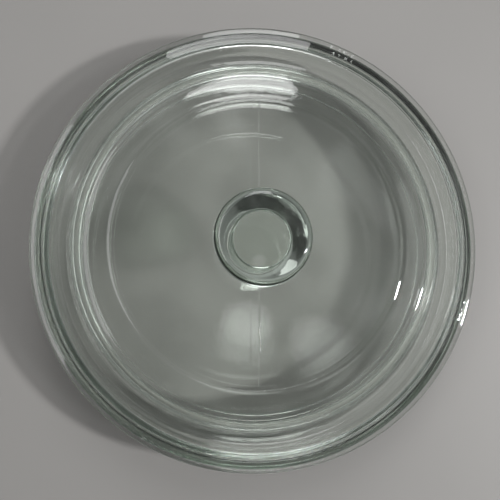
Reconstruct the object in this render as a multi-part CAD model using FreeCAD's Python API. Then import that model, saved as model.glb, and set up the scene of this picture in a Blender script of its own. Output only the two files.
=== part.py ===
"""Round glass dish with a knobbed cover: two loose pieces of pressed glass.

The dish is a shallow flat-bottomed pan that stands on a foot ring. The cover is one pressing: a
flange that rests on the dish's rim, a channel that drops inside the rim and centres it, a low dome,
and a solid mushroom knob. Both are bodies of revolution about Z. The cover also carries what the
press leaves: the seam of the knob's two-part mould, the ring of the inner plate and two rows of ribs.
Millimetres, +Z up, origin on the table under the dish's centre.
"""
import FreeCAD, Part
import math
import os

from FreeCAD import Vector

# --- overall sizes -------------------------------------------------------------------------------
FLANGE_R = 100.0  # outer radius of the cover's flange, the widest place of the object
DISH_H = 24.0  # table to the rim that the cover rests on
KNOB_H = 29.8  # rim to the top of the knob

# --- cover: flange and channel -------------------------------------------------------------------
GLASS_T = 3.9  # glass thickness of the dome, its slope and the channel
FLANGE_T = 4.6  # thickness of the flange at its land
LAND_W = 4.9  # flat ring on top of the flange, from the crease to the step
BAND_W = 3.9  # outer band of the flange, outside the step
BAND_DROP = 0.5  # the outer band starts this much lower than the land
BAND_ANGLE = 8.0  # degrees that the outer band falls outwards
STEP_W = 0.6  # width of the step between land and band
STEP_ROUND = 0.25
EDGE_ROUND = 1.6  # fire-polished rounding of the flange's outer edge
CREASE_ROUND = 0.7  # the crisp inner edge of the land
CHANNEL_DEPTH = 4.2  # rim level down to the channel's floor
CHANNEL_W = 5.0  # the channel's floor, from the foot of its outer wall to the foot of the slope
CHANNEL_LEAN = 10.0  # degrees that the channel's outer wall leans from upright
CHANNEL_OUTER_ROUND = 1.4
CHANNEL_INNER_ROUND = 1.6
ROOT_ROUND = 0.8  # corner under the flange, where the channel's outside leaves it

# --- cover: dome ---------------------------------------------------------------------------------
SHOULDER_H = 6.9  # rim level up to where the lines of the slope and the crown meet
SLOPE_ANGLE = 78.0  # degrees below level, where the dome comes down to the channel
SHOULDER_ROUND = 11.0
CROWN_ANGLE = 1.6  # degrees that the crown has fallen by where the shoulder starts

# --- cover: knob ---------------------------------------------------------------------------------
KNOB_R = 20.4  # widest place of the head
KNOB_TOP_ANGLE = 6.0  # degrees that the head's top has fallen by at its edge
KNOB_EDGE_ROUND = 3.6
KNOB_EDGE_REACH = 4.4  # from the head's side in to where its top's own curve ends
KNOB_SIDE_H = 5.4  # corner of the head's top down to the corner of its lip
KNOB_LIP_ROUND = 2.2
LIP_ANGLE = 47.0  # degrees that the underside falls towards the neck: past 41, glass mirrors there
NECK_R = 11.4
NECK_ROUND = 3.6
NECK_FOOT_ROUND = 2.6
NECK_FOOT_SPREAD = 4.8  # from the neck's side to where the crown's own curve starts

# --- marks of the press --------------------------------------------------------------------------
PLATE_RING_INSET = 9.2  # the inner plate's ring lies this far inside the start of the shoulder
PLATE_RING_W, PLATE_RING_H = 1.1, 0.16
SEAM_W, SEAM_H = 0.5, 0.18
SEAM_DEPTH = 2.0  # how far a fin runs into the glass
RIB_L, RIB_W, RIB_H = 2.0, 0.7, 0.25  # short pressed ribs on the flange's outer band
RIB_STEP = 1.9  # degrees from rib to rib
RIB_ROWS = ((248.0, 9), (66.0, 4))  # middle of each row in degrees from +X, and its ribs

# --- dish ----------------------------------------------------------------------------------------
SEAT_GAP = 0.9  # radial room between the channel's outside and the dish's rim
DISH_WALL = 3.4
DISH_FLOOR = 4.0
DISH_LEAN = 9.0  # degrees that the wall leans outwards
RIM_ROUND = 1.1
DISH_INNER_ROUND = 6.0
DISH_OUTER_ROUND = 8.0
FOOT_H = 1.2  # the base is clear of the table by this much, inside and outside the foot ring
FOOT_W = 4.0  # the foot ring's flat face
FOOT_INSET = 1.5  # from where the base's outer rounding ends to the foot ring
FOOT_FLARE = 0.8  # each side of the foot ring widens this much towards the base
FOOT_ROUND = 0.4


def sind(angle):
    return math.sin(math.radians(angle))


def cosd(angle):
    return math.cos(math.radians(angle))


def tand(angle):
    return math.tan(math.radians(angle))


# --- sizes that follow ---------------------------------------------------------------------------
step_r = FLANGE_R - BAND_W
crease_r = step_r - LAND_W
channel_foot_r = crease_r - (FLANGE_T + CHANNEL_DEPTH) * tand(CHANNEL_LEAN)
slope_foot_r = channel_foot_r - CHANNEL_W
shoulder_r = slope_foot_r - (SHOULDER_H + CHANNEL_DEPTH) / tand(SLOPE_ANGLE)
shoulder_reach = SHOULDER_ROUND * tand((SLOPE_ANGLE - CROWN_ANGLE) / 2)
crown_end_r = shoulder_r - shoulder_reach * cosd(CROWN_ANGLE)
crown_round = crown_end_r / sind(CROWN_ANGLE)
crown_top = SHOULDER_H + shoulder_reach * sind(CROWN_ANGLE) + crown_round * (1 - cosd(CROWN_ANGLE))
foot_end_r = NECK_R + NECK_FOOT_SPREAD
plate_ring_r = crown_end_r - PLATE_RING_INSET
knob_top_round = (KNOB_R - KNOB_EDGE_REACH) / sind(KNOB_TOP_ANGLE)
knob_top_middle_r = knob_top_round * tand(KNOB_TOP_ANGLE / 2)
knob_corner_h = KNOB_H - (KNOB_R - knob_top_middle_r) * tand(KNOB_TOP_ANGLE)
skirt_r = crease_r - FLANGE_T * tand(CHANNEL_LEAN) + GLASS_T / cosd(CHANNEL_LEAN)
rim_inner_r = skirt_r + SEAT_GAP
rim_outer_r = rim_inner_r + DISH_WALL


# --- profiles: corners (r, z, round), joined by lines and cut by arcs ------------------------------
def edges_of(corners):
    """The edges through the corners, each corner but the first and last cut by its own arc."""
    spots = [Vector(r, 0, z) for r, z, _ in corners]
    edges = []
    last = spots[0]

    def line_to(spot):
        if (spot - last).Length > 1e-6:
            edges.append(Part.LineSegment(last, spot).toShape())

    for before, here, after, corner in zip(spots, spots[1:], spots[2:], corners[1:]):
        way_in, way_out = (here - before).normalize(), (after - here).normalize()
        half_turn = way_in.getAngle(way_out) / 2
        reach = corner[2] * math.tan(half_turn)
        if reach < 1e-6:
            line_to(here)
            last = here
            continue
        start, end = here - way_in * reach, here + way_out * reach
        inwards = (way_out - way_in).normalize()
        middle = here + inwards * corner[2] * (1 / math.cos(half_turn) - 1)
        line_to(start)
        edges.append(Part.Arc(start, middle, end).toShape())
        last = end
    line_to(spots[-1])
    return edges


def turned(corners):
    """The solid swept by an outline about Z. The outline starts and ends on the axis, or is a ring
    that ends where it starts."""
    edges = edges_of(corners)
    start, end = Vector(corners[0][0], 0, corners[0][1]), Vector(corners[-1][0], 0, corners[-1][1])
    if (start - end).Length > 1e-6:
        edges.append(Part.LineSegment(end, start).toShape())
    face = Part.Face(Part.Wire(edges))
    return face.revolve(Vector(0, 0, 0), Vector(0, 0, 1), 360)


def beside(corners, gap):
    """The corners of the path that runs beside this one, gap away on its right-hand side. A round
    that bends to the right loses the gap, one that bends to the left gains it, and a corner with no
    round keeps none."""
    spots = [Vector(r, 0, z) for r, z, _ in corners]
    ways = [(b - a).normalize() for a, b in zip(spots, spots[1:])]
    found = []
    for (r, z, radius), way_in, way_out in zip(corners, ways[:1] + ways, ways + ways[-1:]):
        right = Vector(way_in.z + way_out.z, 0, -way_in.x - way_out.x).normalize()
        shift = right * (gap / math.cos(way_in.getAngle(way_out) / 2))
        wider = -gap if way_in.x * way_out.z < way_in.z * way_out.x else gap
        found.append((r + shift.x, z + shift.z, radius + wider if radius else 0))
    return found


# --- cover, with heights counted from the rim level ------------------------------------------------
def crown_height(r):
    """Height of the cover's top face at radius r, on the crown."""
    return crown_top - crown_round + math.sqrt(crown_round ** 2 - r ** 2)


def crown_corners(start_r, end_r):
    """The stretch of the crown between two radii: its start, and the corner that its arc rounds."""
    start_angle = math.degrees(math.asin(start_r / crown_round))
    end_angle = math.degrees(math.asin(end_r / crown_round))
    reach = crown_round * tand((end_angle - start_angle) / 2)
    start_h = crown_height(start_r)
    corner = (start_r + reach * cosd(start_angle), start_h - reach * sind(start_angle), crown_round)
    return [(start_r, start_h, 0), corner]


def slope_corners(start_r):
    """The top face from radius start_r on the crown to the crease at the flange's land."""
    return [
        *crown_corners(start_r, crown_end_r),
        (shoulder_r, SHOULDER_H, SHOULDER_ROUND),
        (slope_foot_r, -CHANNEL_DEPTH, CHANNEL_INNER_ROUND),
        (channel_foot_r, -CHANNEL_DEPTH, CHANNEL_OUTER_ROUND),
        (crease_r, FLANGE_T, CREASE_ROUND),
    ]


def knob_corners():
    """The knob, from the middle of its top to the foot of its neck."""
    lip_h = knob_corner_h - KNOB_SIDE_H
    foot_slope = foot_end_r / math.sqrt(crown_round ** 2 - foot_end_r ** 2)
    foot_h = crown_height(foot_end_r) + NECK_FOOT_SPREAD * foot_slope
    return [
        (0, KNOB_H, 0),
        (knob_top_middle_r, KNOB_H, knob_top_round),
        (KNOB_R, knob_corner_h, KNOB_EDGE_ROUND),
        (KNOB_R, lip_h, KNOB_LIP_ROUND),
        (NECK_R, lip_h - (KNOB_R - NECK_R) * tand(LIP_ANGLE), NECK_ROUND),
        (NECK_R, foot_h, NECK_FOOT_ROUND),
    ]


def plate_ring_corners():
    """The low ridge on the crown where the press's inner plate ended."""
    inner = plate_ring_r - PLATE_RING_W / 2
    return [
        (inner, crown_height(inner), 0),
        (plate_ring_r, crown_height(plate_ring_r) + PLATE_RING_H, PLATE_RING_W / 2),
    ]


def flange_corners():
    """The flange, from the step on its top round its edge to the root of the channel's outside."""
    band_h = FLANGE_T - BAND_DROP
    return [
        (step_r, FLANGE_T, STEP_ROUND),
        (step_r + STEP_W, band_h, STEP_ROUND),
        (FLANGE_R, band_h - (BAND_W - STEP_W) * tand(BAND_ANGLE), EDGE_ROUND),
        (FLANGE_R, 0, EDGE_ROUND),
        (skirt_r, 0, ROOT_ROUND),
    ]


def seam():
    """The fins where the halves of the mould met: down the knob's sides and along Y to the ring."""
    top = knob_corner_h - KNOB_EDGE_ROUND
    end = (plate_ring_r, crown_height(plate_ring_r), 0)
    crown = crown_corners(foot_end_r, plate_ring_r)
    skin = beside([(KNOB_R, top, 0), *knob_corners()[3:], *crown, end], -SEAM_H)
    inside, base = NECK_R - SEAM_DEPTH, end[1] - SEAM_DEPTH
    outline = [(inside, top, 0), *skin, (skin[-1][0], base, 0), (inside, base, 0), (inside, top, 0)]
    fin = Part.Face(Part.Wire(edges_of(outline))).extrude(Vector(0, SEAM_W, 0))
    fin.translate(Vector(0, -SEAM_W / 2, 0))
    fins = []
    for angle in (90, 270):
        turned_fin = fin.copy()
        turned_fin.rotate(Vector(0, 0, 0), Vector(0, 0, 1), angle)
        fins.append(turned_fin)
    return fins


def ribs():
    """Two rows of short ribs across the flange's outer band."""
    r = FLANGE_R - EDGE_ROUND - RIB_L / 2
    top = FLANGE_T - BAND_DROP - (r - step_r - STEP_W) * tand(BAND_ANGLE) + RIB_H
    found = []
    for middle, count in RIB_ROWS:
        for i in range(count):
            corner = Vector(r - RIB_L / 2, -RIB_W / 2, FLANGE_T / 2)
            rib = Part.makeBox(RIB_L, RIB_W, top - FLANGE_T / 2, corner)
            angle = middle + (i - (count - 1) / 2) * RIB_STEP
            rib.rotate(Vector(0, 0, 0), Vector(0, 0, 1), angle)
            found.append(rib)
    return found


def cover():
    top = [
        *knob_corners(),
        *crown_corners(foot_end_r, plate_ring_r - PLATE_RING_W / 2),
        *plate_ring_corners(),
        *slope_corners(plate_ring_r + PLATE_RING_W / 2),
        *flange_corners(),
    ]
    under = beside(slope_corners(0), GLASS_T)[:-1]
    solid = turned(top + under[::-1]).fuse(seam() + ribs())
    solid.translate(Vector(0, 0, DISH_H))
    return solid


# --- dish, with heights counted from the table -----------------------------------------------------
def dish():
    base_r = rim_outer_r - (DISH_H - FOOT_H) * tand(DISH_LEAN)
    floor_h = FOOT_H + DISH_FLOOR
    floor_r = rim_inner_r - (DISH_H - floor_h) * tand(DISH_LEAN)
    foot_outer_r = base_r - DISH_OUTER_ROUND * tand((90 - DISH_LEAN) / 2) - FOOT_INSET
    foot_inner_r = foot_outer_r - FOOT_W - 2 * FOOT_FLARE
    return turned([
        (0, FOOT_H, 0),
        (foot_inner_r, FOOT_H, FOOT_ROUND),
        (foot_inner_r + FOOT_FLARE, 0, FOOT_ROUND),
        (foot_outer_r - FOOT_FLARE, 0, FOOT_ROUND),
        (foot_outer_r, FOOT_H, FOOT_ROUND),
        (base_r, FOOT_H, DISH_OUTER_ROUND),
        (rim_outer_r, DISH_H, RIM_ROUND),
        (rim_inner_r, DISH_H, RIM_ROUND),
        (floor_r, floor_h, DISH_INNER_ROUND),
        (0, floor_h, 0),
    ])


os.makedirs("parts", exist_ok=True)
for name, solid in (("dish", dish()), ("cover", cover())):
    box = solid.optimalBoundingBox(False, False)
    print(f"{name}: {len(solid.Solids)} solid, valid {solid.isValid()}, {solid.Volume / 1000:.1f} cm3, "
          f"{box.XLength:.2f} mm wide, {box.ZMin:.2f} to {box.ZMax:.2f} mm high")
    solid.exportStep(f"parts/{name}.step")
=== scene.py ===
# %% [markdown]
# # A covered glass dish, made by lathe profiles
#
# The object is two loose pieces of pressed soda-lime glass: a shallow dish on a foot ring, and a
# flanged cover with a solid knob. A glass-press drops a gob of melt into a mould and a plunger
# squeezes it, so every face is a body of revolution with small rounded corners, about 4 mm thick.
# It could be modelled face by face, or cut from cylinders with modifiers. Here both pieces are made
# the way the mould is turned: a profile of straight and round stretches, swept round one axis. The
# marks of the press are then raised out of the same mesh, so each piece stays one closed skin.

import math

import bpy
import numpy as np
from mathutils import Matrix, Vector


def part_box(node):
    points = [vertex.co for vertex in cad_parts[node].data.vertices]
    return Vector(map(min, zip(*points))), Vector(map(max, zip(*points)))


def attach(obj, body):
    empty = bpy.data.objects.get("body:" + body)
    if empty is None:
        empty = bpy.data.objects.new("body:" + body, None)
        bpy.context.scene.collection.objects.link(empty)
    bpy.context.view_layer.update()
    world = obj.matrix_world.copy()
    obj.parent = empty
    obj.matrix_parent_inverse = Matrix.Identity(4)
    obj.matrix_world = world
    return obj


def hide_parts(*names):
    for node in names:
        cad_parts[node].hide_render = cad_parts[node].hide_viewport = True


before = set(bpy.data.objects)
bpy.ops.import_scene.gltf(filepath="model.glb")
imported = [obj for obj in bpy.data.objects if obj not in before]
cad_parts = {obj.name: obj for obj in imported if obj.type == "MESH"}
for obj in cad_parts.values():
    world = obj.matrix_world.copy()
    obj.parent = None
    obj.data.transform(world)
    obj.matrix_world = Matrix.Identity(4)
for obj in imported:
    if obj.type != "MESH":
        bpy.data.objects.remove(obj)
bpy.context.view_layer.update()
MM = 0.001  # metres

# %% [markdown]
# ## What the frame already knows
#
# The widest radius, the rim's height and the knob's height were settled in the CAD model. Typed in
# again they could drift apart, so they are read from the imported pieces. Lengths below are in
# millimetres. Heights count from the table on the dish, and from the dish's rim on the cover,
# because that is the face where the two pieces meet.

# %% Overall sizes
_, dish_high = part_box("dish")
_, cover_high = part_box("cover")
FLANGE_R = round(cover_high[0] / MM, 2)
RIM_H = round(dish_high[2] / MM, 2)
KNOB_H = round((cover_high[2] - dish_high[2]) / MM, 2)
print(f"flange {2 * FLANGE_R:.1f} mm wide, rim {RIM_H:.1f} mm up, knob {KNOB_H:.1f} mm above the rim")


# %% Angles in degrees
def sind(angle):
    return math.sin(math.radians(angle))


def cosd(angle):
    return math.cos(math.radians(angle))


def tand(angle):
    return math.tan(math.radians(angle))


print(f"a slope of 30 degrees climbs {tand(30):.3f} mm in each millimetre")

# %% [markdown]
# ## Profile tools
#
# A profile is a list of corners (radius, height, round). It could be a Bezier curve with a Screw
# modifier, but smooth shading then bends the light on flat faces, and a mirror-like face shows every
# wrong normal. So each straight stretch gets a row of points close to each of its ends, which keeps
# the normals between them true.

# %% Rows on a straight stretch
LONGEST_ROW = 2.4  # mm along a straight or nearly straight stretch
END_ROW = 0.12  # mm from the end of a straight stretch to its support row
TINY = 1e-6  # mm: shorter than this is nothing


def along(a, b):
    """Rows on the straight stretch from a to b, without a itself."""
    length = math.dist(a, b)
    if length < TINY:
        return []
    if length < 4 * END_ROW:
        return [tuple(b)]
    count = max(1, math.ceil((length - 2 * END_ROW) / LONGEST_ROW))
    inner = [END_ROW + (length - 2 * END_ROW) * i / count for i in range(count + 1)]
    return [tuple(a + (b - a) * (s / length)) for s in inner + [length]]


print("rows on 10 mm of straight wall:", len(along(np.array((0.0, 0.0)), np.array((0.0, 10.0)))))

# %% Rows round the corners
ROUND_STEP = 7.0  # degrees of a round between two rows
FEWEST_STEPS = 4  # on even the smallest round


def rounded(corners):
    """The rows of a profile: lines between the corners, each corner cut by its own arc."""
    spots = [np.array(c[:2], float) for c in corners]
    rows, last = [tuple(spots[0])], spots[0]
    for before, here, after, corner in zip(spots, spots[1:], spots[2:], corners[1:]):
        way_in, way_out = (here - before), (after - here)
        way_in, way_out = way_in / np.linalg.norm(way_in), way_out / np.linalg.norm(way_out)
        turn = math.atan2(way_in[0] * way_out[1] - way_in[1] * way_out[0], way_in @ way_out)
        reach = corner[2] * math.tan(abs(turn) / 2)
        if reach < TINY:
            rows += along(last, here)
            last = here
            continue
        start = here - way_in * reach
        rows += along(last, start)
        side = np.array((-way_in[1], way_in[0])) * math.copysign(corner[2], turn)
        widest = min(math.radians(ROUND_STEP), LONGEST_ROW / corner[2])
        count = max(FEWEST_STEPS, math.ceil(abs(turn) / widest))
        for i in range(1, count + 1):
            c, s = math.cos(turn * i / count), math.sin(turn * i / count)
            spun = np.array((side[0] * c - side[1] * s, side[0] * s + side[1] * c))
            rows.append(tuple(start + side - spun))
        last = np.array(rows[-1])
    return rows + along(last, spots[-1])


print("rows on a square corner with a 2 mm round:", len(rounded([(0, 0, 0), (10, 0, 2), (10, 10, 0)])))

# %% [markdown]
# From the crown to the flange the cover's glass is equally thick, because the plunger follows the
# mould at one distance. So the lower face isn't drawn a second time: it runs beside the upper one.
# On the inside of a bend its round is smaller by the glass's thickness, and on the outside larger.


# %% A profile beside another
def beside(corners, gap):
    """The corners of the profile that runs beside this one, gap away on its right-hand side."""
    spots = [np.array(c[:2], float) for c in corners]
    ways = [(b - a) / np.linalg.norm(b - a) for a, b in zip(spots, spots[1:])]
    found = []
    for (r, z, radius), way_in, way_out in zip(corners, ways[:1] + ways, ways + ways[-1:]):
        right = np.array((way_in[1] + way_out[1], -way_in[0] - way_out[0]))
        right /= np.linalg.norm(right)
        cross = way_in[0] * way_out[1] - way_in[1] * way_out[0]
        half = math.acos(min(1.0, way_in @ way_out)) / 2
        shift = right * (gap / math.cos(half))
        wider = -gap if cross < 0 else gap
        found.append((r + shift[0], z + shift[1], radius + wider if radius else 0))
    return found


lower = beside([(0, 10, 0), (10, 10, 6), (10, 0, 0)], 4)[1]
print(f"4 mm inside a 6 mm round at radius 10: a {lower[2]:.0f} mm round at radius {lower[0]:.0f}")

# %% [markdown]
# ## The cover's flange and channel
#
# The flange is the flat shelf that rests on the dish's rim. Outside a small step it falls away as a
# band. Inside it the glass drops into a channel, which hangs down in the dish and keeps the cover in
# its middle. A disc with a groove cut in it would be quicker, but would show one sharp edge after
# another. Pressed glass can't hold a sharp edge, so each corner has its own round, and the walls lean
# a few degrees so that the mould lets go.

# %% Flange and channel sizes
GLASS_T, FLANGE_T = 3.9, 4.6
LAND_W, BAND_W, BAND_DROP, BAND_ANGLE = 4.9, 3.9, 0.5, 8.0
STEP_W, STEP_ROUND, EDGE_ROUND, CREASE_ROUND, ROOT_ROUND = 0.6, 0.25, 1.6, 0.7, 0.8
CHANNEL_DEPTH, CHANNEL_W, CHANNEL_LEAN = 4.2, 5.0, 10.0
CHANNEL_OUTER_ROUND, CHANNEL_INNER_ROUND = 1.4, 1.6

step_r = FLANGE_R - BAND_W
crease_r = step_r - LAND_W
skirt_r = crease_r - FLANGE_T * tand(CHANNEL_LEAN) + GLASS_T / cosd(CHANNEL_LEAN)
channel_foot_r = crease_r - (FLANGE_T + CHANNEL_DEPTH) * tand(CHANNEL_LEAN)
slope_foot_r = channel_foot_r - CHANNEL_W
print(f"radii in mm: step {step_r:.1f}, crease {crease_r:.1f}, foot of the dome {slope_foot_r:.1f}")

# %% [markdown]
# ## The dome
#
# From the channel the glass climbs a steep side, bends over a broad shoulder and runs on as a crown
# that is almost flat. A slice of a sphere would be simpler, but it mirrors a lamp as one spot. The
# real dome has a calm middle and a bright arc in its shoulder, which takes a flat crown and a
# shoulder that bends much faster. The crown is one arc, and the shoulder meets it without a kink.

# %% The dome's sizes
SHOULDER_H, SLOPE_ANGLE, SHOULDER_ROUND, CROWN_ANGLE = 6.9, 78.0, 11.0, 1.6

shoulder_r = slope_foot_r - (SHOULDER_H + CHANNEL_DEPTH) / tand(SLOPE_ANGLE)
shoulder_reach = SHOULDER_ROUND * tand((SLOPE_ANGLE - CROWN_ANGLE) / 2)
crown_end_r = shoulder_r - shoulder_reach * cosd(CROWN_ANGLE)
crown_round = crown_end_r / sind(CROWN_ANGLE)
crown_top = SHOULDER_H + shoulder_reach * sind(CROWN_ANGLE) + crown_round * (1 - cosd(CROWN_ANGLE))
print(f"crown to radius {crown_end_r:.1f} mm, its top {crown_top:.2f} mm above the rim")


# %% The dome's curve
def crown_height(r):
    return crown_top - crown_round + math.sqrt(crown_round ** 2 - r ** 2)


def crown_corners(start_r, end_r):
    """The stretch of the crown between two radii: its start, and the corner that its arc rounds."""
    start_angle = math.degrees(math.asin(start_r / crown_round))
    end_angle = math.degrees(math.asin(end_r / crown_round))
    reach = crown_round * tand((end_angle - start_angle) / 2)
    start_h = crown_height(start_r)
    corner = (start_r + reach * cosd(start_angle), start_h - reach * sind(start_angle), crown_round)
    return [(start_r, start_h, 0), corner]


def slope_corners(start_r):
    """From the crown over the shoulder, down the side, through the channel and up to the flange."""
    return [
        *crown_corners(start_r, crown_end_r),
        (shoulder_r, SHOULDER_H, SHOULDER_ROUND),
        (slope_foot_r, -CHANNEL_DEPTH, CHANNEL_INNER_ROUND),
        (channel_foot_r, -CHANNEL_DEPTH, CHANNEL_OUTER_ROUND),
        (crease_r, FLANGE_T, CREASE_ROUND),
    ]


print(f"the crown falls {crown_height(0) - crown_height(crown_end_r):.2f} mm from its middle to its end")

# %% [markdown]
# ## The knob
#
# The knob is a solid mushroom of glass, pressed in one piece with the cover: a slightly domed top, an
# upright edge, an underside that slopes in to a waist, and a soft foot on the crown. Glass mirrors
# light that meets it from inside at more than about 41 degrees. The underside slopes at 47, past that
# angle, and is why the knob looks dark and silvery from above and not clear. A separate knob set on
# the crown would show an inner face that the real one hasn't got, so it is part of the same profile.

# %% The knob's sizes
KNOB_R, KNOB_TOP_ANGLE, KNOB_EDGE_ROUND, KNOB_EDGE_REACH = 20.4, 6.0, 3.6, 4.4
KNOB_SIDE_H, KNOB_LIP_ROUND, LIP_ANGLE = 5.4, 2.2, 47.0
NECK_R, NECK_ROUND, NECK_FOOT_ROUND, NECK_FOOT_SPREAD = 11.4, 3.6, 2.6, 4.8

foot_end_r = NECK_R + NECK_FOOT_SPREAD
knob_top_round = (KNOB_R - KNOB_EDGE_REACH) / sind(KNOB_TOP_ANGLE)
knob_top_middle_r = knob_top_round * tand(KNOB_TOP_ANGLE / 2)
knob_corner_h = KNOB_H - (KNOB_R - knob_top_middle_r) * tand(KNOB_TOP_ANGLE)
print(f"knob {2 * KNOB_R:.1f} mm wide, waist {2 * NECK_R:.1f} mm, edge {knob_corner_h:.1f} mm up")

# %% [markdown]
# ## A ring and ribs from the mould
#
# The mould's middle plate leaves a hair-thin raised ring on the crown where it meets the outer
# mould. Short ribs stand in two rows on the flange's band. A bump map would do for both from
# far off, but glass shows a ridge by how it bends what lies behind, so they are real geometry. Their
# rows of points have to be in the profile before it is swept.

# %% Ring and rib sizes
PLATE_RING_INSET, PLATE_RING_W, PLATE_RING_H = 9.2, 0.8, 0.2
RIB_L, RIB_SLOPE = 1.5, 0.15  # along the radius, and the sloped stretch at each of its ends

plate_ring_r = crown_end_r - PLATE_RING_INSET
rib_out_r = FLANGE_R - EDGE_ROUND
rib_rows_r = (rib_out_r - RIB_L, rib_out_r - RIB_L + RIB_SLOPE, rib_out_r - RIB_SLOPE, rib_out_r)
print(f"ring at radius {plate_ring_r:.1f} mm, ribs from {rib_rows_r[0]:.1f} to {rib_out_r:.1f} mm")


# %% The cover's profile
def cover_corners():
    """The cover's outline: over the knob, the crown, the channel and the flange, and back below."""
    lip_h = knob_corner_h - KNOB_SIDE_H
    foot_slope = foot_end_r / math.sqrt(crown_round ** 2 - foot_end_r ** 2)
    ring_in, ring_out = plate_ring_r - PLATE_RING_W / 2, plate_ring_r + PLATE_RING_W / 2
    band_h = FLANGE_T - BAND_DROP
    return [
        (0, KNOB_H, 0),
        (knob_top_middle_r, KNOB_H, knob_top_round),
        (KNOB_R, knob_corner_h, KNOB_EDGE_ROUND),
        (KNOB_R, lip_h, KNOB_LIP_ROUND),
        (NECK_R, lip_h - (KNOB_R - NECK_R) * tand(LIP_ANGLE), NECK_ROUND),
        (NECK_R, crown_height(foot_end_r) + NECK_FOOT_SPREAD * foot_slope, NECK_FOOT_ROUND),
        *crown_corners(foot_end_r, ring_in),
        (ring_in, crown_height(ring_in), 0),
        (plate_ring_r, crown_height(plate_ring_r) + PLATE_RING_H, PLATE_RING_W / 2),
        *slope_corners(ring_out),
        (step_r, FLANGE_T, STEP_ROUND),
        (step_r + STEP_W, band_h, STEP_ROUND),
        *((r, band_h - (r - step_r - STEP_W) * tand(BAND_ANGLE), 0) for r in rib_rows_r),
        (FLANGE_R, band_h - (BAND_W - STEP_W) * tand(BAND_ANGLE), EDGE_ROUND),
        (FLANGE_R, 0, EDGE_ROUND),
        (skirt_r, 0, ROOT_ROUND),
        *beside(slope_corners(0), GLASS_T)[-2::-1],
    ]


cover_rows = rounded(cover_corners())
print(f"the cover's profile has {len(cover_rows)} rows")

# %% [markdown]
# ## The dish
#
# The dish is a flat floor, a wall that leans out so that the plunger can leave it, a rounded rim and a
# low foot ring, which keeps the middle off the table. A cylinder with a Solidify modifier would give
# the wall but neither the foot nor the soft inner corner, so it is a profile too. The rim stops a
# hair below the flange: two glass faces never touch over their whole width, and the thin air between
# them gives each glass a face of its own for light to bend at.

# %% The dish's sizes
SEAT_GAP, DISH_WALL, DISH_FLOOR, DISH_LEAN = 0.9, 3.4, 4.0, 9.0
RIM_ROUND, DISH_INNER_ROUND, DISH_OUTER_ROUND = 1.1, 6.0, 8.0
FOOT_H, FOOT_W, FOOT_INSET, FOOT_FLARE, FOOT_ROUND = 1.2, 4.0, 1.5, 0.8, 0.4
CONTACT_GAP = 0.03  # of air between the rim and the flange

rim_inner_r = skirt_r + SEAT_GAP
rim_outer_r = rim_inner_r + DISH_WALL
print(f"rim from radius {rim_inner_r:.1f} to {rim_outer_r:.1f} mm")


# %% The dish's profile
def dish_corners():
    """The dish's outline: under the base, over the foot ring, up the wall and back over the floor."""
    base_r = rim_outer_r - (RIM_H - FOOT_H) * tand(DISH_LEAN)
    floor_h = FOOT_H + DISH_FLOOR
    floor_r = rim_inner_r - (RIM_H - floor_h) * tand(DISH_LEAN)
    foot_outer_r = base_r - DISH_OUTER_ROUND * tand((90 - DISH_LEAN) / 2) - FOOT_INSET
    foot_inner_r = foot_outer_r - FOOT_W - 2 * FOOT_FLARE
    return [
        (0, FOOT_H, 0),
        (foot_inner_r, FOOT_H, FOOT_ROUND),
        (foot_inner_r + FOOT_FLARE, 0, FOOT_ROUND),
        (foot_outer_r - FOOT_FLARE, 0, FOOT_ROUND),
        (foot_outer_r, FOOT_H, FOOT_ROUND),
        (base_r, FOOT_H, DISH_OUTER_ROUND),
        (rim_outer_r, RIM_H - CONTACT_GAP, RIM_ROUND),
        (rim_inner_r, RIM_H - CONTACT_GAP, RIM_ROUND),
        (floor_r, floor_h, DISH_INNER_ROUND),
        (0, floor_h, 0),
    ]


dish_rows = rounded(dish_corners())
print(f"the dish's profile has {len(dish_rows)} rows")

# %% [markdown]
# ## Turning a profile into glass
#
# A Screw modifier sweeps a profile evenly, and then nothing can stand out of it. Here each column of
# points from pole to pole says for itself where it stands and how far its points are lifted, so that
# a fin or a rib is just a few columns of its own. The faces are joined column by column.

# %% The lathe
def swept(name, rows, columns):
    """A closed mesh. Each column gives (angle in degrees, mm to its side, mm of lift) for every row."""
    rows = np.array(rows)
    inner = rows[1:-1]
    tangent = np.gradient(rows, axis=0)[1:-1]
    tangent /= np.linalg.norm(tangent, axis=1)[:, None]
    outward = np.stack([-tangent[:, 1], tangent[:, 0]], axis=1)
    verts = []
    for column in columns:
        angle, aside, lift = column(inner)
        r = inner[:, 0] + outward[:, 0] * lift
        z = inner[:, 1] + outward[:, 1] * lift
        ahead = np.sqrt(np.maximum(r ** 2 - aside ** 2, 0))
        c, s = np.cos(np.radians(angle)), np.sin(np.radians(angle))
        verts.append(np.stack([ahead * c - aside * s, ahead * s + aside * c, z], axis=1))
    n_rows, n_columns = len(inner), len(columns)
    points = np.concatenate([*verts, [[0, 0, rows[0, 1]], [0, 0, rows[-1, 1]]]]) * MM
    start, end = n_rows * n_columns, n_rows * n_columns + 1
    faces = []
    for j in range(n_columns):
        a, b = j * n_rows, (j + 1) % n_columns * n_rows
        faces += [(a + i, a + i + 1, b + i + 1, b + i) for i in range(n_rows - 1)]
        faces += [(start, a, b), (end, b + n_rows - 1, a + n_rows - 1)]
    mesh = bpy.data.meshes.new(name)
    mesh.from_pydata(points.tolist(), [], faces)
    mesh.polygons.foreach_set("use_smooth", [True] * len(mesh.polygons))
    piece = bpy.data.objects.new(name, mesh)
    bpy.context.collection.objects.link(piece)
    print(f"{name}: {len(mesh.polygons)} faces, {piece.dimensions.x / MM:.1f} mm across")
    return piece


# %% The dish
COLUMN_STEP = 1.25  # degrees between plain columns
CLOSEST = 0.4 * COLUMN_STEP  # a plain column nearer than this gives way to a rib's or the seam's


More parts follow.
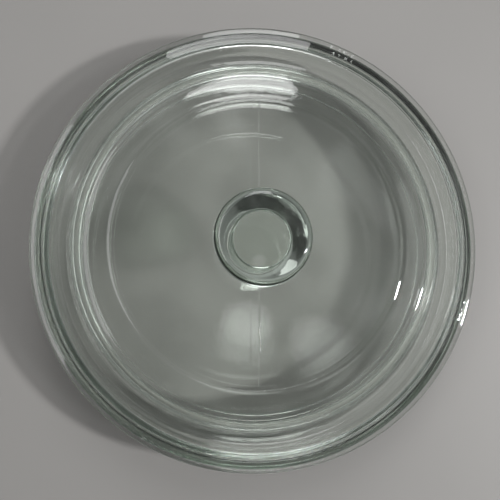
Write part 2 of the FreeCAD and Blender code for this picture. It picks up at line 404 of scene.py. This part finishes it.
def even_angles(taken=()):
    """Even angles in degrees, without those that other columns take the place of."""
    count = round(360 / COLUMN_STEP)
    angles = [i * 360 / count for i in range(count)]
    return [a for a in angles if all(abs(a - other) > CLOSEST for other in taken)]


# the dish's profile starts below, so it is turned round for its faces to point out of the glass
dish = swept("dish_glass_body", dish_rows[::-1], [lambda inner, a=a: (a, 0, 0) for a in even_angles()])

# %% [markdown]
# ## The mould's seam
#
# The knob's mould opens in two halves, and melt creeps a fifth of a millimetre into the joint. That
# is the fin over the knob and out across the crown. It could be a thin strip laid on top, but a strip
# in glass shows both its faces. So seven columns run along the joint, each a fixed distance from it,
# and the middle ones are lifted. Plain columns nearby spread out to make room for them.

# %% The seam's fin
SEAM_W, SEAM_H = 0.5, 0.18
SEAM_ANGLES = (90.0, 270.0)
SEAM_OFFSETS = (-0.42, -0.25, -0.13, 0.0, 0.13, 0.25, 0.42)  # mm to each side of the seam's middle
SEAM_SPREAD = 12.0  # degrees over which plain columns make room for the seam's
FIN_END = 1.5  # mm over which the fin rises at each end
KNOB_FIN_SHARE = 0.1  # on the knob the fin has been polished down


def room_at(r):
    """How far a sideways distance counts at radius r: in full outside the neck, less near the pole."""
    return np.minimum(1.0, r / NECK_R)


def fin_share(inner):
    """0 to 1 for each row: how much of the fin's height it has."""
    steps = np.r_[0, np.cumsum(np.hypot(*np.diff(inner, axis=0).T))]
    start = np.argmax(inner[:, 1] <= knob_corner_h - KNOB_EDGE_ROUND)
    end = np.argmax(inner[:, 0] >= plate_ring_r - PLATE_RING_W / 2)
    share = np.minimum(steps - steps[start], steps[end] - steps) / FIN_END
    on_knob = inner[:, 1] > crown_top + NECK_FOOT_ROUND
    return np.clip(share, 0, 1) * np.where(on_knob, KNOB_FIN_SHARE, 1.0)


print(f"the fin rises to its height over {FIN_END} mm at each end")


# %% Columns that carry the fin, and plain ones that make room
def seam_column(seam, offset):
    """A column along the seam. The fin's cross-section is half an ellipse."""
    height = SEAM_H * math.sqrt(max(0.0, 1 - (2 * offset / SEAM_W) ** 2))
    return lambda inner: (seam, offset * room_at(inner[:, 0]), height * fin_share(inner))


def make_room(angle):
    """A plain column that keeps clear of the seam's columns."""

    def column(inner):
        seam = min(SEAM_ANGLES, key=lambda s: abs(angle - s))
        away = angle - seam
        if abs(away) >= SEAM_SPREAD:
            return angle, 0.0, 0.0
        push = np.degrees(SEAM_OFFSETS[-1] * room_at(inner[:, 0]) / inner[:, 0])
        return seam + math.copysign(1, away) * (abs(away) + push * (1 - abs(away) / SEAM_SPREAD)), 0.0, 0.0

    return column


print(f"{len(SEAM_ANGLES) * len(SEAM_OFFSETS)} columns for a fin {SEAM_H} mm high and {SEAM_W} mm wide")

# %% [markdown]
# ## The ribs
#
# Two rows of short ribs, cut into the mould as a plain mark, stand on the band nearly opposite each
# other. Each rib has four columns: two at its feet and two at its top, so its sides slope and catch a
# thin line of light. Boxes set on the glass would have hidden faces inside, which bend light twice.

# %% Columns for the ribs
RIB_W, RIB_H, RIB_STEP = 0.7, 0.25, 1.9  # mm, mm, and degrees from rib to rib
RIB_ROWS = ((248.0, 9), (66.0, 4))  # middle of each row in degrees from +X, and its ribs
RIB_COLUMNS = (  # mm from the rib's middle, and mm of lift
    (-RIB_W / 2, 0),
    (RIB_SLOPE - RIB_W / 2, RIB_H),
    (RIB_W / 2 - RIB_SLOPE, RIB_H),
    (RIB_W / 2, 0),
)
ROW_SLACK = 1e-3  # mm: a row this near a rib's end still counts as on it


def rib_column(angle, height):
    def column(inner):
        on_rib = (inner[:, 0] > rib_rows_r[1] - ROW_SLACK) & (inner[:, 0] < rib_rows_r[2] + ROW_SLACK)
        return angle, 0.0, height * (on_rib & (inner[:, 1] > FLANGE_T / 2))

    return column


rib_angles = [
    middle + (i - (count - 1) / 2) * RIB_STEP for middle, count in RIB_ROWS for i in range(count)
]
print(f"{len(rib_angles)} ribs in {len(RIB_ROWS)} rows")

# %% The cover
SORT_STEP = 0.01  # degrees for each mm of offset: it only puts the seam's columns in order

columns = [(a, make_room(a)) for a in even_angles((*rib_angles, *SEAM_ANGLES))]
columns += [(s + SORT_STEP * o, seam_column(s, o)) for s in SEAM_ANGLES for o in SEAM_OFFSETS]
for rib in rib_angles:
    for aside, height in RIB_COLUMNS:
        angle = rib + math.degrees(aside / rib_rows_r[0])
        columns.append((angle, rib_column(angle, height)))
columns.sort(key=lambda c: c[0])
cover = swept("cover_glass_body", cover_rows, [column for _, column in columns])
cover.data.transform(Matrix.Translation((0, 0, RIM_H * MM)))
print(f"the cover's {len(columns)} columns stand on the rim, {RIM_H:.1f} mm up")

# %% [markdown]
# ## Node tools
#
# A material is a graph of nodes. It could be clicked together by hand, but then nobody can read why a
# number is what it is. One small function adds any node with its settings and its links, and one
# turns the hex colours that people write into the linear light that the renderer adds up.

# %% Colours and nodes
def linear(hex_colour):
    """An sRGB hex colour as linear RGBA."""
    parts = [int(hex_colour[i:i + 2], 16) / 255 for i in (1, 3, 5)]
    return (*(c / 12.92 if c <= 0.04045 else ((c + 0.055) / 1.055) ** 2.4 for c in parts), 1.0)


def new_material(name):
    material = bpy.data.materials.new(name)
    material.use_nodes = True
    material.node_tree.nodes.clear()
    return material, material.node_tree


def add(tree, kind, inputs=None, **settings):
    """A node with its settings, its plain input values and its links."""
    node = tree.nodes.new(kind)
    for key, value in settings.items():
        setattr(node, key, value)
    for key, value in (inputs or {}).items():
        if isinstance(value, bpy.types.NodeSocket):
            tree.links.new(value, node.inputs[key])
        else:
            node.inputs[key].default_value = value
    return node


print(f"mid grey #808080 is {linear('#808080')[0]:.3f} of white in linear light")

# %% [markdown]
# ## The skin of pressed glass
#
# The plunger and the mould leave the glass bright, but the melt freezes against metal that is cooler
# than it is. That gives chill ripple: slow waves a few centimetres long, with finer ones over them. The
# eye sees it as reflections that wander a little. Glass without it looks drawn with a compass.
# Real waves are under a tenth of a millimetre high, so they are bump and not geometry.

# %% Chill ripple
WAVE_SIZE, WAVE_DEPTH, WAVE_STRENGTH = 23.81, 0.6, 0.12  # mm, mm before the strength, and a share
SKIN_SIZE, SKIN_DEPTH, SKIN_STRENGTH = 5.263, 0.15, 0.14


def chill_ripple(tree, place):
    """The normal of a skin with slow waves, and finer ones over them."""
    slow = add(tree, "ShaderNodeTexNoise", {
        "Vector": place, "Scale": 1 / (WAVE_SIZE * MM), "Detail": 1.0, "Roughness": 0.4})
    fine = add(tree, "ShaderNodeTexNoise", {
        "Vector": place, "Scale": 1 / (SKIN_SIZE * MM), "Detail": 2.0, "Roughness": 0.5})
    waves = add(tree, "ShaderNodeBump", {
        "Height": slow.outputs[0], "Strength": WAVE_STRENGTH, "Distance": WAVE_DEPTH * MM})
    skin = add(tree, "ShaderNodeBump", {
        "Height": fine.outputs[0], "Strength": SKIN_STRENGTH, "Distance": SKIN_DEPTH * MM,
        "Normal": waves.outputs[0]})
    return skin.outputs[0]


print(f"waves {WAVE_SIZE:.0f} mm long and at most {WAVE_DEPTH * WAVE_STRENGTH:.3f} mm high")

# %% [markdown]
# ## Light through the glass
#
# Real glass bends a lamp's light. Flat stretches pass most of it on, curved stretches and the thick
# rim send it elsewhere, and what reaches the table is uneven. Tracing all that takes many thousands
# of samples for each point. Here rays between the table and a lamp meet a plain filter instead: clear
# where the face lies level, darker on curves, darkest in the rim, and with slow uneven patches.

# %% A filter for lamplight
LEVEL, TILTED = 0.998, 0.9  # the upright part of a face's normal, where it counts as flat or curved
KNOB_ZONE = (30.0, 60.0)  # mm from the axis, from the knob's glass to the dome's
KNOB_PASSES = 0.85  # a solid knob gathers much of the light again
RIM_ZONE = (83.0, 88.0)  # mm from the axis, over which the rim begins
PATCH_SIZE, PATCH_EDGES, PATCH_PASSES = 29.41, (0.36, 0.62), 0.9  # mm, noise values, and a share


def lamp_filter(tree, place, shifted, curves_pass, rim_passes):
    """The share of a lamp's light that the glass passes at each spot, as a grey."""
    flat_place = add(tree, "ShaderNodeVectorMath", {0: place, 1: (1, 1, 0)}, operation="MULTIPLY")
    reach = add(tree, "ShaderNodeVectorMath", {0: flat_place.outputs[0]}, operation="LENGTH").outputs[1]
    curves = add(tree, "ShaderNodeMapRange", {
        0: reach, 1: KNOB_ZONE[0] * MM, 2: KNOB_ZONE[1] * MM, 3: KNOB_PASSES, 4: curves_pass})
    normal = add(tree, "ShaderNodeNewGeometry").outputs["Normal"]
    up = add(tree, "ShaderNodeSeparateXYZ", {0: normal}).outputs[2]
    upright = add(tree, "ShaderNodeMath", {0: up}, operation="ABSOLUTE").outputs[0]
    by_slope = add(tree, "ShaderNodeMapRange", {
        0: upright, 1: TILTED, 2: LEVEL, 3: curves.outputs[0], 4: 1.0})
    noise = add(tree, "ShaderNodeTexNoise", {
        "Vector": shifted, "Scale": 1 / (PATCH_SIZE * MM), "Detail": 2.0})
    patches = add(tree, "ShaderNodeMapRange", {
        0: noise.outputs[0], 1: PATCH_EDGES[0], 2: PATCH_EDGES[1], 3: PATCH_PASSES, 4: 1.0})
    rim = add(tree, "ShaderNodeMapRange", {
        0: reach, 1: RIM_ZONE[0] * MM, 2: RIM_ZONE[1] * MM, 3: 1.0, 4: rim_passes})
    share = by_slope.outputs[0]
    for other in (patches, rim):
        product = add(tree, "ShaderNodeMath", {0: share, 1: other.outputs[0]}, operation="MULTIPLY")
        share = product.outputs[0]
    return add(tree, "ShaderNodeCombineColor", {0: share, 1: share, 2: share}).outputs[0]


print(f"lamplight in the knob: {KNOB_PASSES:.0%} through each curved face")

# %% [markdown]
# ## Pressed soda-lime glass
#
# Soda-lime is the common glass of jars and dishes, with an index of 1.52. Iron in its sand gives a
# faint green that shows only along a long way through the glass. Paint on the skin would tint thick
# and thin alike, so the colour is absorption in the body: the eye finds it in the rim and the foot.
# Dish and cover are one glass, but two castings with their own ripple, so each has its own material.

# %% The glass of both pieces
GLASS_IOR, GLASS_ROUGHNESS = 1.52, 0.02  # bright from the plunger, a trace softer than polished
SKIN_COLOUR, BODY_COLOUR, BODY_DENSITY = "#FBFDFB", "#8FC79C", 7.0  # the density is for each metre


def pressed_glass(name, shift, curves_pass, rim_passes):
    """Pressed soda-lime glass: clear, faintly green in depth, with chill ripple."""
    material, tree = new_material(name)
    place = add(tree, "ShaderNodeTexCoord").outputs["Object"]
    shifted = add(tree, "ShaderNodeVectorMath", {0: place, 1: (shift, 0, 0)}, operation="ADD").outputs[0]
    body = add(tree, "ShaderNodeBsdfPrincipled", {
        "Base Color": linear(SKIN_COLOUR), "Roughness": GLASS_ROUGHNESS, "IOR": GLASS_IOR,
        "Transmission Weight": 1.0, "Normal": chill_ripple(tree, shifted)})
    clear = add(tree, "ShaderNodeBsdfTransparent", {
        "Color": lamp_filter(tree, place, shifted, curves_pass, rim_passes)})
    ray = add(tree, "ShaderNodeLightPath").outputs
    lamp_ray = add(tree, "ShaderNodeMath", {
        0: ray["Is Shadow Ray"], 1: ray["Is Diffuse Ray"]}, operation="MAXIMUM").outputs[0]
    surface = add(tree, "ShaderNodeMixShader", {0: lamp_ray, 1: body.outputs[0], 2: clear.outputs[0]})
    tint = add(tree, "ShaderNodeVolumeAbsorption", {
        "Color": linear(BODY_COLOUR), "Density": BODY_DENSITY})
    add(tree, "ShaderNodeOutputMaterial", {"Surface": surface.outputs[0], "Volume": tint.outputs[0]})
    return material


dish_glass = pressed_glass("pressed_soda_lime_glass_dish", shift=3.0, curves_pass=0.88, rim_passes=0.8)
cover_glass = pressed_glass("pressed_soda_lime_glass_cover", shift=0.0, curves_pass=0.5, rim_passes=0.6)
dish.data.materials.append(dish_glass)
cover.data.materials.append(cover_glass)
print("glass:", dish_glass.name, "and", cover_glass.name)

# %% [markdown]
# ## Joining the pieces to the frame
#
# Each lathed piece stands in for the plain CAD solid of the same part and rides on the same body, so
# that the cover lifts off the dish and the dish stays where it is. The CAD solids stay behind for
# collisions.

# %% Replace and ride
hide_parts("dish")
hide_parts("cover")
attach(dish, "dish")
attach(cover, "cover")
print("the dish rides on dish, the cover on cover")

# %% [markdown]
# ## The table
#
# The dish stands on a pale grey laminate: printed paper under melamine resin, pressed flat. The press
# leaves a soft sheen with no sharp reflections, and the print varies by a few percent over a hand's
# width. A pure flat grey would make clear glass look cut out. The disc is wide, so that its edge is
# far away when the dish is seen from the side.

# %% A laminate floor
FLOOR_R, FLOOR_CORNERS = 12.0, 72  # metres, and corners of the disc
PRINT_SIZE = 111.1  # mm from light to dark in the print
PRINT_DARK, PRINT_LIGHT, MELAMINE_ROUGHNESS = "#868482", "#8E8C8A", 0.6


def laminate(name):
    """Grey print under pressed melamine: a soft sheen, and slow cloudy changes of tone."""
    material, tree = new_material(name)
    place = add(tree, "ShaderNodeTexCoord").outputs["Object"]
    cloud = add(tree, "ShaderNodeTexNoise", {
        "Vector": place, "Scale": 1 / (PRINT_SIZE * MM), "Detail": 3.0}).outputs[0]
    colour = add(tree, "ShaderNodeMix", {
        0: cloud, 6: linear(PRINT_DARK), 7: linear(PRINT_LIGHT)}, data_type="RGBA").outputs[2]
    body = add(tree, "ShaderNodeBsdfPrincipled", {"Base Color": colour, "Roughness": MELAMINE_ROUGHNESS})
    add(tree, "ShaderNodeOutputMaterial", {"Surface": body.outputs[0]})
    return material


corner_angles = [i * 360 / FLOOR_CORNERS for i in range(FLOOR_CORNERS)]
floor_edge = [(FLOOR_R * cosd(a), FLOOR_R * sind(a), 0) for a in corner_angles]
floor_mesh = bpy.data.meshes.new("floor")
floor_mesh.from_pydata(floor_edge, [], [tuple(range(FLOOR_CORNERS))])
floor = bpy.data.objects.new("floor", floor_mesh)
bpy.context.collection.objects.link(floor)
floor.data.materials.append(laminate("pale_grey_laminate"))
print(f"floor: {2 * FLOOR_R:.0f} m across")

# %% [markdown]
# ## Lamps
#
# Glass has hardly a colour of its own: what the eye sees is what it mirrors and what it bends. A big
# even light would make it vanish, so the lamps differ. A small key lamp throws the rim's shadow. A
# tall window shows as a bright patch in the shoulder. Two wide, weak lamps fill the left and the far
# side.

# %% Soft lamps
LAMPS = (  # name, azimuth and elevation in degrees, metres away, width and height in metres, watts
    ("key", -10, 42, 1.2, (0.1, 0.1), 13),
    ("window", 86, 47, 1.25, (0.36, 0.72), 4),
    ("left", 174, 54, 1.3, (1.1, 0.28), 3),
    ("horizon", 105, 36, 1.4, (1.7, 0.5), 2),
)


def softbox(name, azimuth, elevation, distance, size, power):
    """A rectangular lamp at an angle round the dish, facing the middle of its rim."""
    light = bpy.data.lights.new(name, "AREA")
    light.shape = "RECTANGLE"
    light.size, light.size_y = size
    light.energy = power
    lamp = bpy.data.objects.new(name, light)
    way = Vector((cosd(azimuth) * cosd(elevation), sind(azimuth) * cosd(elevation), sind(elevation)))
    lamp.location = Vector((0, 0, RIM_H * MM)) + way * distance
    lamp.rotation_euler = (-way).to_track_quat("-Z", "Y").to_euler()
    bpy.context.collection.objects.link(lamp)


for lamp_facts in LAMPS:
    softbox(*lamp_facts)
print(f"{len(LAMPS)} lamps, {sum(facts[-1] for facts in LAMPS)} W together")

# %% [markdown]
# ## The room
#
# The crown is so flat that it mirrors only the ceiling right above. An even ceiling leaves it blank,
# so this one has slow clouds of light, two small ceiling lamps and one dark patch, which the knob's
# underside mirrors back as its dark ring. An image of a room would do the same, but a few nodes can be
# read and changed. Each is worked out from the direction in which a ray leaves.

# %% Sizes in the room
ROOM_COLOUR = "#F0F2F0"
WALL_EDGE, WALL_FULL = 28.0, 10.0  # degrees above the table where the wall starts, and is all there is
WALL_AZIMUTH, WALL_SPAN, WALL_GLOW = 110.0, (-0.2, 0.8), (0.22, 0.4)  # brighter towards the window
CEILING_EDGE, CEILING_FULL, FAR_CEILING = 40.0, 26.0, 0.2  # degrees off the zenith, and its dim part
CLOUD_ANGLE, CLOUD_SPAN, CLOUD_GLOW = 9.55, (0.4, 0.62), (0.28, 0.85)  # degrees across, noise, glow
DARK_PATCH, DARK_GLOW = (-129, 6.0, 12.0, 27.0), 0.04  # azimuth, off zenith, inner and outer degrees
CEILING_LAMPS = (((-47, 5.1, 0.5, 3.6), 1.5), ((-26, 13.5, 1.0, 4.0), 1.1))  # each a patch and its glow
print(f"{len(CEILING_LAMPS)} ceiling lamps, clouds {CLOUD_ANGLE} degrees across")

# %% Ceiling and walls
SOFT_EDGE = {"interpolation_type": "SMOOTHSTEP"}


def round_patch(tree, way, azimuth, off_zenith, inner, outer):
    """1 inside a round patch of the ceiling, fading to 0 at its outer angle."""
    heart = (sind(off_zenith) * cosd(azimuth), sind(off_zenith) * sind(azimuth), cosd(off_zenith))
    near = add(tree, "ShaderNodeVectorMath", {0: way, 1: heart}, operation="DOT_PRODUCT").outputs[1]
    return add(tree, "ShaderNodeMapRange", {
        0: near, 1: cosd(outer), 2: cosd(inner), 3: 0.0, 4: 1.0}, **SOFT_EDGE).outputs[0]


def ceiling_glow(tree, way, height):
    """Clouds overhead, dimmer further out, then the dark patch, then the lamps."""
    noise = add(tree, "ShaderNodeTexNoise", {
        "Vector": way, "Scale": 1 / math.radians(CLOUD_ANGLE), "Detail": 1.0}).outputs[0]
    clouds = add(tree, "ShaderNodeMapRange", {
        0: noise, 1: CLOUD_SPAN[0], 2: CLOUD_SPAN[1], 3: CLOUD_GLOW[0], 4: CLOUD_GLOW[1]}, **SOFT_EDGE)
    overhead = add(tree, "ShaderNodeMapRange", {
        0: height, 1: cosd(CEILING_EDGE), 2: cosd(CEILING_FULL), 3: 0.0, 4: 1.0}, **SOFT_EDGE)
    glow = add(tree, "ShaderNodeMix", {0: overhead.outputs[0], 2: FAR_CEILING, 3: clouds.outputs[0]})
    for patch, level in ((DARK_PATCH, DARK_GLOW), *CEILING_LAMPS):
        inside = round_patch(tree, way, *patch)
        glow = add(tree, "ShaderNodeMix", {0: inside, 2: glow.outputs[0], 3: level})
    return glow.outputs[0]


def studio_room(name):
    """A softly clouded ceiling over walls that are brighter on the window's side."""
    world = bpy.data.worlds.new(name)
    world.use_nodes = True
    tree = world.node_tree
    tree.nodes.clear()
    way = add(tree, "ShaderNodeTexCoord").outputs["Generated"]
    height = add(tree, "ShaderNodeSeparateXYZ", {0: way}).outputs[2]
    low = add(tree, "ShaderNodeMapRange", {
        0: height, 1: sind(WALL_EDGE), 2: sind(WALL_FULL), 3: 0.0, 4: 1.0}, **SOFT_EDGE)
    bright_side = (cosd(WALL_AZIMUTH), sind(WALL_AZIMUTH), 0)
    towards = add(tree, "ShaderNodeVectorMath", {0: way, 1: bright_side}, operation="DOT_PRODUCT")
    wall = add(tree, "ShaderNodeMapRange", {
        0: towards.outputs[1], 1: WALL_SPAN[0], 2: WALL_SPAN[1],
        3: WALL_GLOW[0], 4: WALL_GLOW[1]}, **SOFT_EDGE)
    glow = add(tree, "ShaderNodeMix", {
        0: low.outputs[0], 2: ceiling_glow(tree, way, height), 3: wall.outputs[0]})
    room = add(tree, "ShaderNodeBackground", {"Color": linear(ROOM_COLOUR), "Strength": glow.outputs[0]})
    add(tree, "ShaderNodeOutputWorld", {"Surface": room.outputs[0]})
    return world


bpy.context.scene.world = studio_room("studio_room")
print("room:", len(bpy.context.scene.world.node_tree.nodes), "nodes")

# %% [markdown]
# ## Camera
#
# The camera looks almost straight down from about a hand's length above the knob, a little to one
# side. From so near, high rings look larger than low ones, which is what shows how tall the cover
# is. Pointing a camera straight down with a Track To constraint lets it roll, so its axes are
# written out: back, right, and the turn that they make, with the far side of the table at the top.

# %% Place the camera
CAMERA_AT = Vector((-21.2, -26.1, 272.5)) * MM
CAMERA_AIM = Vector((-3.7, -3.2, 25.9)) * MM
VIEW_ANGLE, SENSOR_W = 48.5, 36  # degrees across the view, and mm
NEAREST = 10 * MM

camera_data = bpy.data.cameras.new("camera")
camera_data.sensor_width = SENSOR_W
camera_data.lens = SENSOR_W / (2 * tand(VIEW_ANGLE / 2))
camera_data.clip_start = NEAREST
camera = bpy.data.objects.new("camera", camera_data)
back = (CAMERA_AT - CAMERA_AIM).normalized()
right = Vector((0, 1, 0)).cross(back).normalized()
turn = Matrix((right, back.cross(right), back)).transposed()
camera.matrix_world = Matrix.Translation(CAMERA_AT) @ turn.to_4x4()
bpy.context.collection.objects.link(camera)
bpy.context.scene.camera = camera
print(f"lens {camera_data.lens:.1f} mm, {(CAMERA_AT - CAMERA_AIM).length / MM:.0f} mm from its aim")

# %% [markdown]
# ## How far light is followed
#
# A ray straight down through cover and dish crosses four faces, and many more where it runs along
# the rim or inside the knob. With too few bounces those places turn black. Light that glass focuses
# is left to the filter above, so the renderer isn't asked for it a second time.

# %% Light paths
GLASS_BOUNCES, MIRROR_BOUNCES = 24, 8

scene = bpy.context.scene
scene.view_settings.view_transform = "Standard"
scene.cycles.max_bounces = GLASS_BOUNCES
scene.cycles.transmission_bounces = GLASS_BOUNCES
scene.cycles.glossy_bounces = MIRROR_BOUNCES
scene.cycles.transparent_max_bounces = GLASS_BOUNCES
scene.cycles.caustics_refractive = False
scene.cycles.caustics_reflective = False
scene.cycles.use_denoising = True
print("bounces:", scene.cycles.max_bounces)
